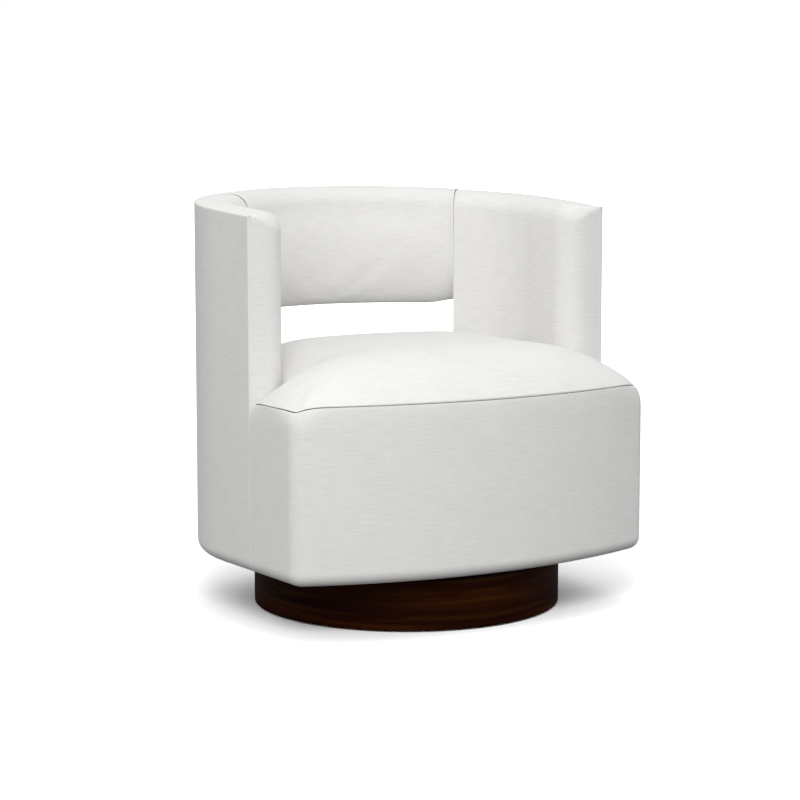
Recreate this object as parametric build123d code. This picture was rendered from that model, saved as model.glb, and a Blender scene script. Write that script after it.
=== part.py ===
from build123d import *
import os
from math import asin, atan2, cos, degrees, pi, radians, sin, sqrt, tan

os.makedirs("parts", exist_ok=True)

# Swivel barrel chair. Millimetres, +Z up, the front of the chair faces -Y, and +X is to the right of
# someone who looks at the front. The origin is on the floor, at the centre of the chair's outline.

# ---- overall size -------------------------------------------------------------------------------
overall_width = 787.4
overall_depth = 711.2
overall_height = 787.4

# ---- plan of the upholstered body: a three-centred barrel with a bowed front ------------------------
back_flatness = 47.3           # the back's plan radius is this much more than half the width
window_end = 49.25             # degrees, seen from above, at which the arms end and the window starts
side_taper = 3.1               # degrees that each side leans in towards the front
front_bow_radius = 990.6       # plan radius of the bowed front
front_corner_round = 32.0      # plan radius of the two front corners
seat_front_length = 230.6      # from the front of the chair to the front face of the arms
bottom_tuck = 24.0             # radius of the rounded bottom edge

# ---- heights ------------------------------------------------------------------------------------
body_bottom = 105.0            # underside of the upholstered body
arm_front_top = 762.0          # top of the arms at their front face
roll_bottom = 550.0            # underside of the back roll, top of the window
seat_edge = 405.0              # underside of the seat's crowned top
sill_rise = 27.0               # bottom of the window, above seat_edge
crown_rise = 115.0             # highest point of the seat, above seat_edge
crown_crest = 300.0            # from the front of the chair to the crown's highest line
crown_front_drop = 92.0        # from the crown's top down to the seam along the front
crown_back_drop = 45.0         # from the crown's top down to the window's foot
crown_side_drop = 105.0        # from the crown's top down to the seams at the sides
crown_sweep = 40.0             # degrees of arc, each way, that the crown is turned through

# ---- upholstery ---------------------------------------------------------------------------------
cover_thickness = 8.0          # cloth with its wadding
board_thickness = 4.0          # bent hardboard under the cloth
pad_thickness = 40.0           # foam on the inside of the arms and the back
nose_pad = 20.0                # foam on the front of the arms
cap_thickness = 22.0           # foam over the top rails
soft_gap = 0.4                 # between two soft pieces
cap_round = 34.0               # large radius along the inner top edge
arm_nose_round = 44.0          # radius of the arm's inner front edge
window_cap = 12.0              # foam over the frame's ends beside the window
roll_round = 40.0              # radius under the back roll, inside
roll_back_round = 16.0         # radius under the back roll, outside
sill_round = 12.0              # radius of the sill's outer edge
hem_width = 34.0               # cloth turned under the frame
hem_thickness = 3.0
dust_sheet_thickness = 1.0
dust_sheet_inset = 22.0
dust_sheet_hole = 196.0        # radius of the hole round the swivel

# ---- timber frame -------------------------------------------------------------------------------
ply = 18.0                     # thickness of every plywood rail
wall_rail_width = 34.0         # rails inside the arms and the back
ring_width = 56.0              # bottom ring and seat ring
seat_ring_bottom = 318.0
post_width = 40.0
window_post_width = 38.0
end_post_inset = 77.3          # middle of the outermost short posts in the back, from the window's end
pad_lift = 14.0                # foam of the arms starts this far above the seat ring
cross_rail_thickness = 25.0
cross_rail_width = 60.0
cross_rail_spacing = 250.0
board_width = 420.0            # board that holds the swivel
board_depth = 370.0
corner_block_size = 44.0
screw_radius = 2.5
screw_head_radius = 5.0
screw_head_height = 3.0

# ---- seat suspension ----------------------------------------------------------------------------
spring_wire = 3.8
spring_pitch = 24.0            # one full wave of the wire
spring_height = 46.0           # width of the zigzag
spring_bend = 5.4
spring_count = 6
spring_spacing = 84.0
clip_length = 16.0
clip_width = 20.0
clip_height = 6.0
felt_thickness = 6.0

# ---- swivel base --------------------------------------------------------------------------------
swivel_y = -25.4               # the axis that the chair turns about
plinth_radius = 295.0
plinth_top_height = 95.0
drum_wall = 12.0
drum_edge = 1.0                # chamfer of the drum's upper edge
glide_height = 3.0
glide_radius = 12.0
glide_count = 6
foot_ring_width = 46.0
plinth_top_level = 75.0        # upper face of the board sunk in the drum
plinth_block_count = 6
plinth_block_width = 46.0
plinth_block_depth = 40.0
plate_size = 300.0
plate_thickness = 3.0
plate_corner = 24.0
race_radius = 105.0            # centre line of the ball race
race_width = 20.0
ball_radius = 4.76
ball_count = 24
ball_clearance = 0.3
race_gap = 5.0
cage_thickness = 2.0
cage_width = 16.0
kingpin_radius = 10.0
kingpin_clearance = 0.05
kingpin_head_radius = 16.0
kingpin_head_height = 4.0
kingpin_head_gap = 0.3
pin_room = 6.0                 # room round the kingpin's head
bolt_square = 250.0            # spacing of the four swivel bolts
bolt_radius = 4.0
bolt_hole_gap = 0.4
bolt_head_radius = 8.0
bolt_head_height = 4.0
tee_nut_radius = 11.0
tee_nut_height = 2.0
lower_screw_square = 240.0
lower_screw_length = 14.0

# ---- lines that follow from the sizes above -------------------------------------------------------
half_width = overall_width / 2
back_y = overall_depth / 2
front_y = -overall_depth / 2
arm_front_y = front_y + seat_front_length
taper = radians(side_taper)
junction = radians(window_end)                                  # shoulder and back arcs meet here too
back_radius = half_width + back_flatness
back_centre_y = back_y - back_radius
corner_x = back_flatness * cos(junction) / (1 - cos(junction))
corner_radius = half_width - corner_x                           # plan radius of the barrel's shoulders
corner_centre_y = back_centre_y + corner_x * tan(junction)      # where the barrel is widest
frame_inset = cover_thickness + board_thickness
rail_inset = frame_inset + wall_rail_width
wall_thickness = rail_inset + pad_thickness                     # arm and back, outer to inner cloth
far = 2 * overall_width                                         # longer than anything in the chair
frame_bottom = body_bottom + hem_thickness
seat_ring_top = seat_ring_bottom + ply
pad_bottom = seat_ring_top + pad_lift
top_slope = degrees(atan2(overall_height - arm_front_top, back_y - arm_front_y))
bow_centre_y = front_y + front_bow_radius
seat_crown = seat_edge + crown_rise
window_sill = seat_edge + sill_rise


def save(shape, node):
    solids = shape.solids()
    shape = solids[0] if len(solids) == 1 else Compound(children=list(solids))
    export_step(shape, f"parts/{node}.step")


def mirror_x(shape):
    return mirror(shape, about=Plane.YZ)


def both_sides(shape):
    return shape + mirror_x(shape)


# ---- plan outlines ------------------------------------------------------------------------------
def side_x(inset, y):
    """x of the straight side of the barrel, at the depth inset inside the cloth."""
    return corner_x + (corner_radius - inset + (y - corner_centre_y) * sin(taper)) / cos(taper)


def shoulder_point(inset, angle):
    radius = corner_radius - inset
    return (corner_x + radius * cos(angle), corner_centre_y + radius * sin(angle))


def back_point(inset, angle):
    radius = back_radius - inset
    return (radius * cos(angle), back_centre_y + radius * sin(angle))


def mirrored(point):
    return (-point[0], point[1])


def depth_inside(point):
    """How far a point lies inside the barrel's outer line."""
    x, y = abs(point.X), point.Y
    angle = atan2(y - corner_centre_y, x - corner_x)
    if angle > junction:
        return back_radius - sqrt(x**2 + (y - back_centre_y) ** 2)
    if angle > -taper:
        return corner_radius - sqrt((x - corner_x) ** 2 + (y - corner_centre_y) ** 2)
    return (side_x(0, y) - x) * cos(taper)


def barrel_plan(inset, y_cut):
    """Everything inside the barrel's sides and back, in front of which it is cut straight at y_cut."""
    front = (side_x(inset, y_cut), y_cut)
    tangent = shoulder_point(inset, -taper)
    middle = shoulder_point(inset, (junction - taper) / 2)
    joint = shoulder_point(inset, junction)
    back = back_point(inset, radians(90))
    right = [Line(front, tangent), ThreePointArc(tangent, middle, joint)]
    left = [Line(mirrored(front), mirrored(tangent))]
    left.append(ThreePointArc(mirrored(tangent), mirrored(middle), mirrored(joint)))
    across = [ThreePointArc(joint, back, mirrored(joint)), Line(front, mirrored(front))]
    return make_face(Curve() + right + left + across)


def front_plan(inset, y_cut):
    """The block in front of the arms: tapered sides, rounded corners and a bowed front."""
    reach = front_y - front_corner_round
    corners = [(side_x(inset, y_cut), y_cut), (side_x(inset, reach), reach)]
    outline = corners + [mirrored(point) for point in reversed(corners)]
    block = make_face(Polyline(*outline, close=True))
    block = block & Pos(0, bow_centre_y) * Circle(front_bow_radius - inset)
    corner_vertices = block.vertices().sort_by(Axis.Y)[:2]
    return fillet(corner_vertices, front_corner_round - min(inset, front_corner_round / 2))


def body_plan(inset):
    return barrel_plan(inset, arm_front_y) + front_plan(inset, arm_front_y)


def slab(plan, low, high):
    return extrude(Pos(0, 0, low) * plan, high - low)


def wall(inset_out, inset_in, low, high):
    """A wall that follows the arms and the back between two depths."""
    return slab(barrel_plan(inset_out, arm_front_y) - barrel_plan(inset_in, arm_front_y), low, high)


def under_top(depth):
    """The space below the sloping top of the arms and back, lowered by depth."""
    block = Box(far, far, far, align=(Align.CENTER, Align.CENTER, Align.MAX))
    return Pos(0, back_y, overall_height - depth) * Rot(top_slope, 0, 0) * block


def back_wedge(margin=0.0):
    """The space behind the two planes where the arms end and the back roll starts."""
    left_edge = (-far * cos(junction), back_centre_y + far * sin(junction))
    right_edge = mirrored(left_edge)
    top = (0, back_centre_y + far * 2)
    wedge = make_face(Polyline((0, back_centre_y), right_edge, top, left_edge, close=True))
    return slab(Pos(0, margin / cos(junction)) * wedge, 0, far)


def side_half(sign):
    """All space to one side of the chair's middle, behind the arms' front face."""
    block = Box(far, far, far, align=(Align.MIN, Align.MIN, Align.MIN))
    block = Pos(0, arm_front_y, 0) * block
    return block if sign > 0 else mirror_x(block)


front_space = Pos(0, arm_front_y, 0) * Box(far, far, far, align=(Align.CENTER, Align.MAX, Align.MIN))
behind_arms = Pos(0, arm_front_y, 0) * Box(far, far, far, align=(Align.CENTER, Align.MIN, Align.MIN))
back_zone = back_wedge()
arm_zone = behind_arms - back_zone
everywhere = Rectangle(far, far)


def body_form(inset, low, tuck):
    """The whole upholstered body as one block with a rounded bottom edge."""
    block = slab(body_plan(inset), low, far)
    return fillet(block.edges().group_by(Axis.Z)[0], tuck)


inner_form = body_form(cover_thickness, frame_bottom, bottom_tuck - cover_thickness)


# ---- swivel base --------------------------------------------------------------------------------
def on_axis(shape, z=0.0):
    return Pos(0, swivel_y, z) * shape


def disc(radius, low, high, hole=0.0):
    plan = Circle(radius) - Circle(hole) if hole else Circle(radius)
    return on_axis(extrude(plan, high - low), low)


def ring_of(shape, count, radius, start=0.0):
    copies = [Rot(0, 0, start + 360 * i / count) * Pos(radius, 0, 0) * shape for i in range(count)]
    return Compound(children=[on_axis(copy) for copy in copies])


drum_inside = plinth_radius - drum_wall
foot_ring_inside = drum_inside - foot_ring_width
foot_ring_top = glide_height + ply
plinth_board_bottom = plinth_top_level - ply
lower_plate_top = plinth_top_level + plate_thickness
upper_plate_bottom = frame_bottom - plate_thickness
ball_centre_z = (lower_plate_top + upper_plate_bottom) / 2
lower_race_top = ball_centre_z - race_gap / 2
upper_race_bottom = ball_centre_z + race_gap / 2
groove_radius = ball_radius + ball_clearance

plinth_drum = disc(plinth_radius, glide_height, plinth_top_height, drum_inside)
plinth_drum = chamfer(plinth_drum.edges().group_by(Axis.Z)[-1].sort_by(SortBy.LENGTH)[-1:], drum_edge)
save(plinth_drum, "plinth_drum")
save(disc(drum_inside, glide_height, foot_ring_top, foot_ring_inside), "plinth_foot_ring")

block_height = plinth_board_bottom - foot_ring_top
glue_block = Pos(0, 0, foot_ring_top) * Box(
    plinth_block_depth, plinth_block_width, block_height, align=(Align.CENTER, Align.CENTER, Align.MIN)
)
block_reach = sqrt(drum_inside**2 - (plinth_block_width / 2) ** 2) - plinth_block_depth / 2
save(ring_of(glue_block, plinth_block_count, block_reach, 180 / plinth_block_count), "plinth_glue_blocks")

glide = extrude(Circle(glide_radius), glide_height)
glide = fillet(glide.edges().group_by(Axis.Z)[0], glide_height / 3)
save(ring_of(glide, glide_count, drum_inside - foot_ring_width / 2), "floor_glides")


def swivel_plate(low):
    plan = RectangleRounded(plate_size, plate_size, plate_corner)
    return on_axis(extrude(plan, plate_thickness), low)


def square_of(shape, spacing):
    half = spacing / 2
    places = [(x, y) for x in (-half, half) for y in (-half, half)]
    return Compound(children=[on_axis(Pos(x, y, 0) * shape) for x, y in places])


race_outer = race_radius + race_width / 2
race_inner = race_radius - race_width / 2
groove = on_axis(Torus(race_radius, groove_radius), ball_centre_z)
lower_screw_hole = Pos(0, 0, plinth_top_level) * extrude(Circle(screw_radius), plate_thickness)
lower_plate = swivel_plate(plinth_top_level)
lower_plate += disc(race_outer, lower_plate_top, lower_race_top, race_inner)
lower_plate = lower_plate - groove - square_of(lower_screw_hole, lower_screw_square)
save(lower_plate, "swivel_lower_plate")

screw_shank = extrude(Circle(screw_radius), -lower_screw_length)
screw_head = extrude(Circle(screw_head_radius), screw_head_height)
lower_screw = Pos(0, 0, lower_plate_top) * (screw_shank + screw_head)
lower_screws = square_of(lower_screw, lower_screw_square)
save(lower_screws, "swivel_lower_screws")
save(disc(drum_inside, plinth_board_bottom, plinth_top_level) - lower_screws, "plinth_board")

kingpin_top = frame_bottom + kingpin_head_gap
kingpin = disc(kingpin_radius, lower_plate_top, kingpin_top)
kingpin += disc(kingpin_head_radius, kingpin_top, kingpin_top + kingpin_head_height)
save(kingpin, "swivel_kingpin")

ball = Pos(0, 0, ball_centre_z) * Sphere(ball_radius)
save(ring_of(ball, ball_count, race_radius), "swivel_balls")
pocket = Pos(0, 0, ball_centre_z) * Cylinder(groove_radius, cage_thickness * 2)
cage = disc(
    race_radius + cage_width / 2,
    ball_centre_z - cage_thickness / 2,
    ball_centre_z + cage_thickness / 2,
    race_radius - cage_width / 2,
)
save(cage - ring_of(pocket, ball_count, race_radius), "ball_cage")

upper_plate = swivel_plate(upper_plate_bottom)
upper_plate += disc(race_outer, upper_race_bottom, upper_plate_bottom, race_inner)
kingpin_bore = disc(kingpin_radius + kingpin_clearance, upper_plate_bottom, frame_bottom)
bolt_hole = Pos(0, 0, upper_plate_bottom) * extrude(Circle(bolt_radius + bolt_hole_gap), plate_thickness)
upper_plate = upper_plate - groove - kingpin_bore - square_of(bolt_hole, bolt_square)
save(upper_plate, "swivel_upper_plate")

# ---- board, cross rails and their fasteners ---------------------------------------------------------
board_top = frame_bottom + ply
cross_rail_top = board_top + cross_rail_thickness
tee_nut_bottom = board_top - tee_nut_height
bolt_end = board_top - tee_nut_height / 2
swivel_bolt = Pos(0, 0, upper_plate_bottom) * (
    extrude(Circle(bolt_radius), bolt_end - upper_plate_bottom)
    + extrude(Circle(bolt_head_radius), -bolt_head_height)
)
tee_nut = extrude(Circle(tee_nut_radius) - Circle(bolt_radius + bolt_hole_gap), tee_nut_height)
tee_nut = Pos(0, 0, tee_nut_bottom) * tee_nut
save(square_of(swivel_bolt, bolt_square), "swivel_bolts")
save(square_of(tee_nut, bolt_square), "tee_nuts")

board_bolt_hole = Pos(0, 0, frame_bottom) * extrude(Circle(bolt_radius + bolt_hole_gap), ply)
board_nut_seat = Pos(0, 0, tee_nut_bottom) * extrude(Circle(tee_nut_radius), tee_nut_height)
swivel_board = on_axis(extrude(Rectangle(board_width, board_depth), ply), frame_bottom)
swivel_board -= disc(kingpin_head_radius + pin_room, frame_bottom, board_top)
swivel_board = swivel_board - square_of(board_bolt_hole, bolt_square) - square_of(board_nut_seat, bolt_square)
save(swivel_board, "swivel_board")

inner_plan = body_plan(frame_inset)
ring_plan = inner_plan - body_plan(frame_inset + ring_width)
cross_rail_y = [swivel_y - cross_rail_spacing / 2, swivel_y + cross_rail_spacing / 2]
tee_nut_room = square_of(Pos(0, 0, board_top) * Cylinder(tee_nut_radius + pin_room, ply), bolt_square)
cross_rails = Compound(children=[
    Pos(0, y, board_top) * Box(
        far, cross_rail_width, cross_rail_thickness, align=(Align.CENTER, Align.CENTER, Align.MIN)
    ) for y in cross_rail_y
])
cross_rails = slab(inner_plan, board_top, cross_rail_top) & cross_rails
cross_rails -= tee_nut_room

ring_middle = frame_inset + ring_width / 2
cross_screw = Pos(0, 0, cross_rail_top) * (
    extrude(Circle(screw_radius), -(cross_rail_thickness + ply / 2))
    + extrude(Circle(screw_head_radius), screw_head_height)
)
cross_screws = [Pos(side_x(ring_middle, y) - ply / 2, y, 0) * cross_screw for y in cross_rail_y]
cross_screws = both_sides(Compound(children=cross_screws))


def four_segments(ring):
    """A ring sawn from plywood in four pieces: front, back and two sides."""
    sides = ring & arm_zone
    pieces = (ring & front_space).solids() + (ring & back_zone).solids()
    pieces += (sides & side_half(1)).solids() + (sides & side_half(-1)).solids()
    return Compound(children=pieces)


bottom_ring = slab(ring_plan, frame_bottom, board_top) & inner_form
save(four_segments(bottom_ring) - cross_screws, "bottom_ring")
save(cross_rails - cross_screws, "cross_rails")
save(cross_screws, "cross_rail_screws")

# ---- posts and seat ring ---------------------------------------------------------------------------
frame_front_y = arm_front_y + nose_pad
end_caps = slab(Rectangle(far, far), window_sill, roll_bottom) & (back_wedge(-window_cap) - back_wedge())
frame_wall = slab(
    barrel_plan(frame_inset, frame_front_y) - barrel_plan(rail_inset, frame_front_y), seat_ring_top, far
) - end_caps


def upright(x, y, turn, low, high, width=post_width):
    post = Box(2 * wall_rail_width, width, high - low, align=(Align.CENTER, Align.CENTER, Align.MIN))
    return Pos(x, y, low) * Rot(0, 0, turn) * post


wall_middle = frame_inset + wall_rail_width / 2
front_post_y = frame_front_y + post_width / 2
window_turn = degrees(junction - asin(window_post_width / 2 / (corner_radius - wall_middle)))
post_places = [
    (side_x(wall_middle, front_post_y), front_post_y, -side_taper),
    (*shoulder_point(wall_middle, radians(window_turn)), window_turn),
]


def bow_y(inset, x):
    return bow_centre_y - sqrt((front_bow_radius - inset) ** 2 - x**2)


corner_leg_x = side_x(front_corner_round + post_width, front_y)
corner_leg_turn = degrees(asin(corner_leg_x / front_bow_radius)) + 90
leg_places = [
    *post_places,
    (corner_leg_x, bow_y(wall_middle, corner_leg_x), corner_leg_turn),
    (0, front_y + wall_middle, 90),
    (0, back_y - wall_middle, 90),
]
leg_space = slab(inner_plan - body_plan(rail_inset), board_top, seat_ring_bottom)
legs = [upright(*place, board_top, seat_ring_bottom) & leg_space for place in leg_places]
legs = Compound(children=legs[:3] + [mirror_x(leg) for leg in legs[:3]] + legs[3:]) - cross_rails
save(legs, "frame_legs")
save(four_segments(slab(ring_plan, seat_ring_bottom, seat_ring_top)), "seat_ring")

cube = [corner_block_size] * 3
block = Box(*cube, align=(Align.MAX, Align.CENTER, Align.MIN))
block_shift = cross_rail_width / 2 + corner_block_size / 2
corner_blocks = [
    Pos(side_x(frame_inset, y) - ring_width / 2, y, board_top) * block
    for y in (cross_rail_y[0] - block_shift, cross_rail_y[1] + block_shift)
]
corner_blocks = both_sides(Compound(children=corner_blocks)) & slab(inner_plan, board_top, seat_ring_bottom)
save(corner_blocks - legs, "corner_blocks")

# ---- frame of the arms and of the back ---------------------------------------------------------------
rail_top_space = under_top(cap_thickness)
rail_bottom_space = under_top(cap_thickness + ply)
top_rails = (frame_wall & rail_top_space) - rail_bottom_space
arm_frame = (frame_wall & rail_bottom_space) & arm_zone
arm_posts = [
    upright(*place, seat_ring_top, overall_height, width) & arm_frame
    for place, width in zip(post_places, (post_width, window_post_width))
]
save(both_sides(arm_posts[0]), "arm_front_posts")
save(both_sides(arm_posts[1]), "window_posts")
save(top_rails & arm_zone, "arm_top_rails")

roll_rail_bottom = roll_bottom + cap_thickness
roll_rail_top = roll_rail_bottom + ply
sill_rail_top = window_sill - cover_thickness - board_thickness
sill_rail_bottom = sill_rail_top - ply
back_frame = frame_wall & back_zone
save(top_rails & back_zone, "roll_top_rail")
save(back_frame & slab(everywhere, roll_rail_bottom, roll_rail_top), "roll_lower_rail")
save(back_frame & slab(everywhere, sill_rail_bottom, sill_rail_top), "sill_rail")


end_post = junction + end_post_inset / (back_radius - wall_middle)


def back_posts(low, high):
    places = [(*back_point(wall_middle, angle), degrees(angle)) for angle in (end_post, pi / 2, pi - end_post)]
    posts = [upright(*place, low, high) & back_frame & rail_bottom_space for place in places]
    return Compound(children=posts)


save(back_posts(roll_rail_top, overall_height), "roll_posts")
save(back_posts(seat_ring_top, sill_rail_bottom), "sill_posts")

# ---- bent hardboard -----------------------------------------------------------------------------------
board_wall = slab(
    barrel_plan(cover_thickness, frame_front_y) - barrel_plan(frame_inset, frame_front_y), board_top, far
)
board_wall = (board_wall & rail_top_space) - end_caps
arm_boards = (board_wall & arm_zone).solids().sort_by(Axis.X)
save(arm_boards[0], "outer_board_left")
save(arm_boards[-1], "outer_board_right")
save(board_wall & back_zone & slab(everywhere, board_top, sill_rail_top), "outer_board_lower_back")
save(board_wall & back_zone & slab(everywhere, roll_rail_bottom, far), "outer_board_roll")
front_board_plan = front_plan(cover_thickness, arm_front_y) - front_plan(frame_inset, arm_front_y)
save(slab(front_board_plan, board_top, seat_edge), "front_board")

# ---- seat suspension: zigzag springs in clips, and a felt pad --------------------------------------------
spring_z = seat_ring_top + clip_height / 2
clip_inset = frame_inset + ring_width - clip_length / 2


def back_line_y(inset, x):
    """y of the barrel's inside line behind the seat, at the depth inset."""
    if x <= (back_radius - inset) * cos(junction):
        return back_centre_y + sqrt((back_radius - inset) ** 2 - x**2)
    return corner_centre_y + sqrt((corner_radius - inset) ** 2 - (x - corner_x) ** 2)


def zigzag(x, start, end):
    """A flat sinuous spring: equal waves of wire from the front clip to the back clip."""
    waves = int((end - start) // spring_pitch)
    pitch = (end - start) / waves
    points = [(x, start)]
    for i in range(waves):
        side = spring_height / 2 if i % 2 else -spring_height / 2
        points.append((x + side, start + pitch * (i + 0.25)))
        points.append((x + side, start + pitch * (i + 0.75)))
    points.append((x, end))
    path = Pos(0, 0, spring_z) * FilletPolyline(*points, radius=spring_bend)
    first = path @ 0
    section = Plane(origin=first, z_dir=path % 0) * Circle(spring_wire / 2)
    return sweep(section, path=path)


springs = []
clips = []
clip = Box(clip_width, clip_length, clip_height, align=(Align.CENTER, Align.CENTER, Align.MIN))
for i in range(spring_count):
    x = (i - (spring_count - 1) / 2) * spring_spacing
    front_clip = bow_y(clip_inset, x)
    back_clip = back_line_y(clip_inset, abs(x))
    pair = [Pos(x, y, seat_ring_top) * clip for y in (front_clip, back_clip)]
    springs.append(zigzag(x, front_clip + clip_length / 2, back_clip - clip_length / 2) - pair)
    clips += pair
save(Compound(children=springs), "seat_springs")
save(Compound(children=clips), "spring_clips")

seat_side_inset = wall_thickness + soft_gap
seat_back_plan = barrel_plan(seat_side_inset, arm_front_y)
felt_bottom = seat_ring_top + clip_height + soft_gap
felt_top = felt_bottom + felt_thickness
felt_plan = seat_back_plan + front_plan(frame_inset + soft_gap, arm_front_y)
save(slab(felt_plan, felt_bottom, felt_top), "spring_felt")
foam_plan = seat_back_plan + front_plan(frame_inset + soft_gap, arm_front_y - soft_gap)
foam_plan += Pos(0, arm_front_y) * Rectangle(2 * side_x(seat_side_inset, arm_front_y), 4 * soft_gap)
save(slab(foam_plan, felt_top, seat_edge), "seat_foam")

# ---- crowned seat top and the front cover ------------------------------------------------------------------
def crown_space():
    """Everything under the crown: an arch over the seat's width, cut by one that follows the bowed front."""
    side_z = seat_crown - crown_side_drop
    arch = ThreePointArc((-half_width, side_z), (0, seat_crown), (half_width, side_z))
    sides = Polyline((-half_width, side_z), (-half_width, 0), (half_width, 0), (half_width, side_z))
    across = extrude(Plane.XZ * make_face(Curve() + [arch, sides]), far, both=True)

    crest = (front_y + crown_crest, seat_crown)
    front_edge = (front_y, seat_crown - crown_front_drop)
    back_edge = (back_y - wall_thickness, seat_crown - crown_back_drop)
    rise = TangentArc(crest, front_edge, tangent=(-1, 0))
    fall = TangentArc(crest, back_edge, tangent=(1, 0))
    foot = Polyline(front_edge, (front_y, 0), (back_edge[0], 0), back_edge)
    profile = Plane.YZ * make_face(Curve() + [rise, fall, foot])
    axis = Axis((0, bow_centre_y, 0), (0, 0, 1))
    along = revolve(profile.rotate(axis, -crown_sweep), axis, 2 * crown_sweep)
    return across & along


crown = crown_space()
seat_plan = seat_back_plan + front_plan(cover_thickness + soft_gap, arm_front_y - soft_gap)
seat_plan += Pos(0, arm_front_y) * Rectangle(2 * side_x(seat_side_inset, arm_front_y), 4 * soft_gap)
seat_top = slab(seat_plan, seat_edge, far) & crown
save(seat_top, "seat_top")


shell = body_form(0, body_bottom, bottom_tuck) - inner_form
shell -= slab(body_plan(hem_width), body_bottom, frame_bottom)
save(shell & front_space & crown, "front_cover")

# ---- arms and back: one wall with rounded edges, divided into covers and pads ------------------------------
wall_form = wall(0, wall_thickness, 0, far) & under_top(0)
corners = wall_form.edges().filter_by(Axis.Z)
noses = [edge for edge in corners if depth_inside(edge @ 0.5) > wall_thickness / 2]
wall_form = fillet([edge for edge in noses if (edge @ 0.5).Y < arm_front_y + 1], arm_nose_round)
top_face = wall_form.faces().filter_by(GeomType.PLANE).sort_by(Axis.Z)[-1]
wall_form = fillet([edge for edge in top_face.edges() if depth_inside(edge @ 0.5) > 1], cap_round)
inside_cover = slab(barrel_plan(cover_thickness, arm_front_y), 0, far)

arm_covers = (shell & arm_zone & wall_form).solids().sort_by(Axis.X)
save(arm_covers[0], "outside_arm_left")
save(arm_covers[-1], "outside_arm_right")
frame_room = slab(
    barrel_plan(cover_thickness, frame_front_y) - barrel_plan(rail_inset, frame_front_y), 0, far
)
arm_room = (frame_room & rail_top_space) - end_caps
arm_pads = wall_form & inside_cover & arm_zone & slab(everywhere, pad_bottom, far)
arm_pads = (arm_pads - arm_room).solids().sort_by(Axis.X)
save(arm_pads[0], "arm_pad_left")
save(arm_pads[-1], "arm_pad_right")

sill_form = wall(0, wall_thickness, 0, window_sill) & back_zone
sill_top = sill_form.faces().sort_by(Axis.Z)[-1]
sill_form = fillet([edge for edge in sill_top.edges() if depth_inside(edge @ 0.5) < 1], sill_round)
save(shell & sill_form, "outside_back_lower")
sill_pad = sill_form & inside_cover & slab(everywhere, pad_bottom, window_sill)
save(sill_pad - (frame_room & slab(everywhere, 0, sill_rail_top)), "sill_pad")

roll_form = wall_form & back_zone & slab(everywhere, roll_bottom, far)
roll_under = roll_form.faces().sort_by(Axis.Z)[0].edges()
roll_front = [edge for edge in roll_under if depth_inside(edge @ 0.5) > wall_thickness - 1]
roll_form = fillet(roll_front, roll_round)
roll_under = roll_form.faces().sort_by(Axis.Z)[0].edges()
roll_form = fillet([edge for edge in roll_under if depth_inside(edge @ 0.5) < 1], roll_back_round)
save(roll_form - inside_cover, "outside_back_roll")
roll_room = (frame_room & rail_top_space) & slab(everywhere, roll_rail_bottom, far)
save((roll_form & inside_cover) - roll_room, "back_roll")

dust_sheet = slab(body_plan(dust_sheet_inset), body_bottom - dust_sheet_thickness, body_bottom)
save(dust_sheet - disc(dust_sheet_hole, 0, frame_bottom), "dust_sheet")
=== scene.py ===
from math import atan2, cos, pi, radians, sin, sqrt, tan

import bpy
import numpy as np
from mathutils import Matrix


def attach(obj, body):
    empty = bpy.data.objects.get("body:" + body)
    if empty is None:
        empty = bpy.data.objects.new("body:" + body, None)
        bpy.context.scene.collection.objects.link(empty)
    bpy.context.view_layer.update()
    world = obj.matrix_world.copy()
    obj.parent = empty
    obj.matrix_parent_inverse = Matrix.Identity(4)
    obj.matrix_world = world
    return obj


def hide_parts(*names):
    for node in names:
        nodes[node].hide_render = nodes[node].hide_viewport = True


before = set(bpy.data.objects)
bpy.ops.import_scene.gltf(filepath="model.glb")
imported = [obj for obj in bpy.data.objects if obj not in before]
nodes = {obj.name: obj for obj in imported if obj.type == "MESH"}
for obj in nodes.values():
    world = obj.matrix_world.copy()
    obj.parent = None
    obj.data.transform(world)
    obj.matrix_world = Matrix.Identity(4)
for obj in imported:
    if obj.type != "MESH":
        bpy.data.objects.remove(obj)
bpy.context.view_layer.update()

# ---- studio --------------------------------------------------------------------------------------
# The chair stands on a plain white floor in even light from all sides, with a large soft lamp to the
# left of its front and a weak one overhead. The camera looks down on its left front corner, as the
# photograph's did.


def add_object(name, data):
    made = bpy.data.objects.new(name, data)
    bpy.context.scene.collection.objects.link(made)
    return made


def add_mesh(name, points, edges, faces):
    mesh = bpy.data.meshes.new(name)
    mesh.from_pydata([tuple(p) for p in points], edges, faces)
    return add_object(name, mesh)


camera_lens = bpy.data.cameras.new("camera")
camera_lens.lens = 101.98
camera_lens.sensor_width = 36.0
camera = add_object("camera", camera_lens)
camera.location = (-2.1767, -3.7753, 0.9453)
camera.rotation_euler = (radians(82.70), 0, radians(-29.97))
bpy.context.scene.camera = camera
bpy.context.scene.view_settings.view_transform = "Standard"


def lamp(name, place, aim, size, watts):
    light = bpy.data.lights.new(name, "AREA")
    light.shape = "DISK"
    light.size = size
    light.energy = watts
    lamp_object = add_object(name, light)
    away = np.array(place, float) - np.array(aim, float)
    flat = sqrt(away[0] ** 2 + away[1] ** 2)
    lamp_object.location = place
    lamp_object.rotation_euler = (atan2(flat, away[2]), 0, atan2(away[0], -away[1]))


lamp("left_softbox", (-2.0, -3.1, 2.6), (0, 0, 0.45), 1.8, 86)
lamp("overhead_softbox", (0.0, -0.4, 3.4), (0, 0, 0.4), 2.4, 8)


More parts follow.
